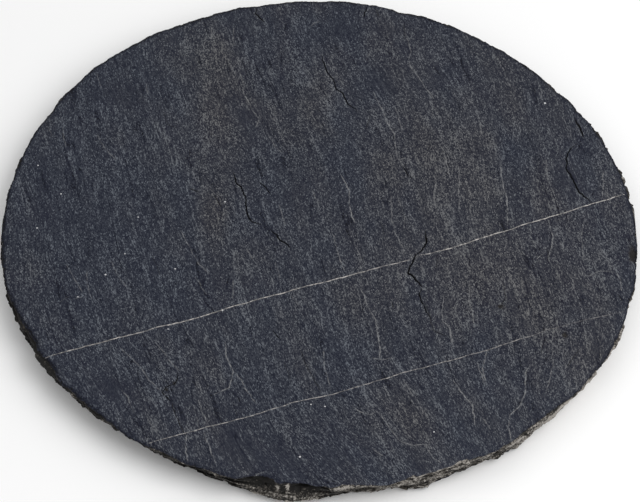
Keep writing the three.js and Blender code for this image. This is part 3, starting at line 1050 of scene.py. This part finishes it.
def edge_finish(s, place):
    """Colour and fine relief of the broken edge: thin beds, dusty and pale in places; its paleness also
    holds painted light and shade.
    """
    beds = s.noise(s.scaled(s.attribute("beds", "Vector"), (1, 1, 1.6)), 0.0028, 3, 0.6)
    chips = s.noise(place, 0.0022, 3, 0.65)
    crumbs = s.grains(place, 0.0008)
    tone = s.attribute("pale") + beds * 5.5 + chips * 2.6 + crumbs * 1.7
    colour = s.mix(tone.ramp(-0.75, 0.3), EDGE_DARK, EDGE_MID)
    return s.mix(tone.ramp(0.3, 1.25), colour, EDGE_PALE), beds + chips


def slate():
    s = Shader("riven_slate")
    grain = s.attribute("grain", "Vector")
    place = s.value(s.node("TexCoord"), "Object")
    colour, relief = face_finish(s, grain)

    # Threads, veins, specks, hollows and cracks are drawn by how far a point is from each.
    ragged = s.noise(place, 0.0011, 2, 0.6) * 1.6
    bead = s.grains(place, 0.0016)
    breaks = s.noise(place, 0.0035, 2)
    thread = (s.attribute("thread") + ragged * 1.3).ramp(0.2, 1.5, 1.0, 0.0)
    thread = thread * breaks.ramp(-0.15, 0.12, 0.25, 1.0) * bead.ramp(-0.45, 0.2, 0.5, 1.0)
    # Threads painted pale: partly their own colour, partly a painted highlight.
    colour = s.mix(thread * s.attribute("thread_strength"), colour, THREAD)
    vein = (s.attribute("vein") + ragged).ramp(0.4, 1.35, 1.0, 0.0) * breaks.ramp(-0.18, 0.08, 0.4, 1.0)
    vein = vein * s.attribute("vein_strength")
    colour = s.mix(vein, colour, s.mix(bead.ramp(-0.3, 0.4), VEIN, VEIN_BRIGHT))
    colour = s.mix((s.attribute("speck") + ragged * 0.4).ramp(0.5, 1.1, 1.0, 0.0), colour, SPECK)
    # Pits darkened: partly their own brown, partly painted shade.
    colour = s.mix(s.attribute("hollow") * 0.9, colour, HOLLOW)
    parting = (s.attribute("parting") + ragged).ramp(0.3, 1.5, 1.0, 0.0) * s.attribute("parting_strength")
    # Partings and cracks painted near black: painted shade in their gaps.
    colour = s.mix(parting * 0.85, colour, CRACK)
    crack = (s.attribute("crack") + ragged * 0.5).ramp(0.5, 1.3, 1.0, 0.0)
    colour = s.mix(crack, colour, CRACK)

    broken_colour, broken_relief = edge_finish(s, place)
    on_edge = (s.attribute("edge") + ragged * 0.25).ramp(0.35, 0.65)
    colour = s.mix(on_edge, colour, broken_colour)

    # Relief too fine for the mesh.
    height = relief + (broken_relief - relief) * on_edge
    bump = s.value(s.node("Bump", Strength=0.6, Distance=0.0005, Height=height))
    shader = s.node("BsdfPrincipled", Base_Color=colour, Normal=bump, Specular_IOR_Level=0.15)
    s.tree.links.new(relief.ramp(-0.4, 0.4, 0.8, 0.6).socket, shader.inputs["Roughness"])
    s.node("OutputMaterial", Surface=s.value(shader))
    return s.material


# ---- Studio ----
def plain_material(name, colour, roughness):
    s = Shader(name)
    shader = s.node("BsdfPrincipled", Base_Color=colour, Roughness=roughness, Specular_IOR_Level=0.2)
    s.node("OutputMaterial", Surface=s.value(shader))
    return s.material


def area_light(name, towards, distance, size, power):
    """A square soft light that looks at the slab from the given direction."""
    data = bpy.data.lights.new(name, "AREA")
    data.energy, data.size = power, size
    light = bpy.data.objects.new(name, data)
    direction = Vector(towards).normalized()
    light.location = direction * distance
    light.rotation_euler = (-direction).to_track_quat("-Z", "Y").to_euler()
    bpy.context.scene.collection.objects.link(light)


def studio():
    mesh = bpy.data.meshes.new("floor")
    corners = [(x * FLOOR_HALF, y * FLOOR_HALF, 0) for x, y in [(-1, -1), (1, -1), (1, 1), (-1, 1)]]
    mesh.from_pydata(corners, [], [(0, 1, 2, 3)])
    floor = bpy.data.objects.new("floor", mesh)
    mesh.materials.append(plain_material("pale_floor", FLOOR_COLOUR, 0.9))
    bpy.context.scene.collection.objects.link(floor)

    world = bpy.data.worlds.new("soft_studio")
    world.use_nodes = True
    world.node_tree.nodes["Background"].inputs["Color"].default_value = (1, 1, 1, 1)
    world.node_tree.nodes["Background"].inputs["Strength"].default_value = SKY_STRENGTH
    bpy.context.scene.world = world
    area_light("key", KEY_DIRECTION, KEY_DISTANCE, KEY_SIZE, KEY_POWER)
    bpy.context.scene.view_settings.view_transform = "Standard"


def camera():
    data = bpy.data.cameras.new("camera")
    data.lens, data.sensor_width = CAMERA_LENS, 36
    made = bpy.data.objects.new("camera", data)
    elevation = math.radians(CAMERA_ELEVATION)
    target = Vector((AIM[0] * MM, AIM[1] * MM, cad_high.z))
    back = Vector((0, -math.cos(elevation), math.sin(elevation)))
    made.location = target + back * CAMERA_DISTANCE
    made.rotation_euler = (-back).to_track_quat("-Z", "Y").to_euler()
    bpy.context.scene.collection.objects.link(made)
    bpy.context.scene.camera = made


camera()
studio()
slab = build_slab()
slab.data.materials.append(slate())
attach(slab, "root")
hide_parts(NODE)
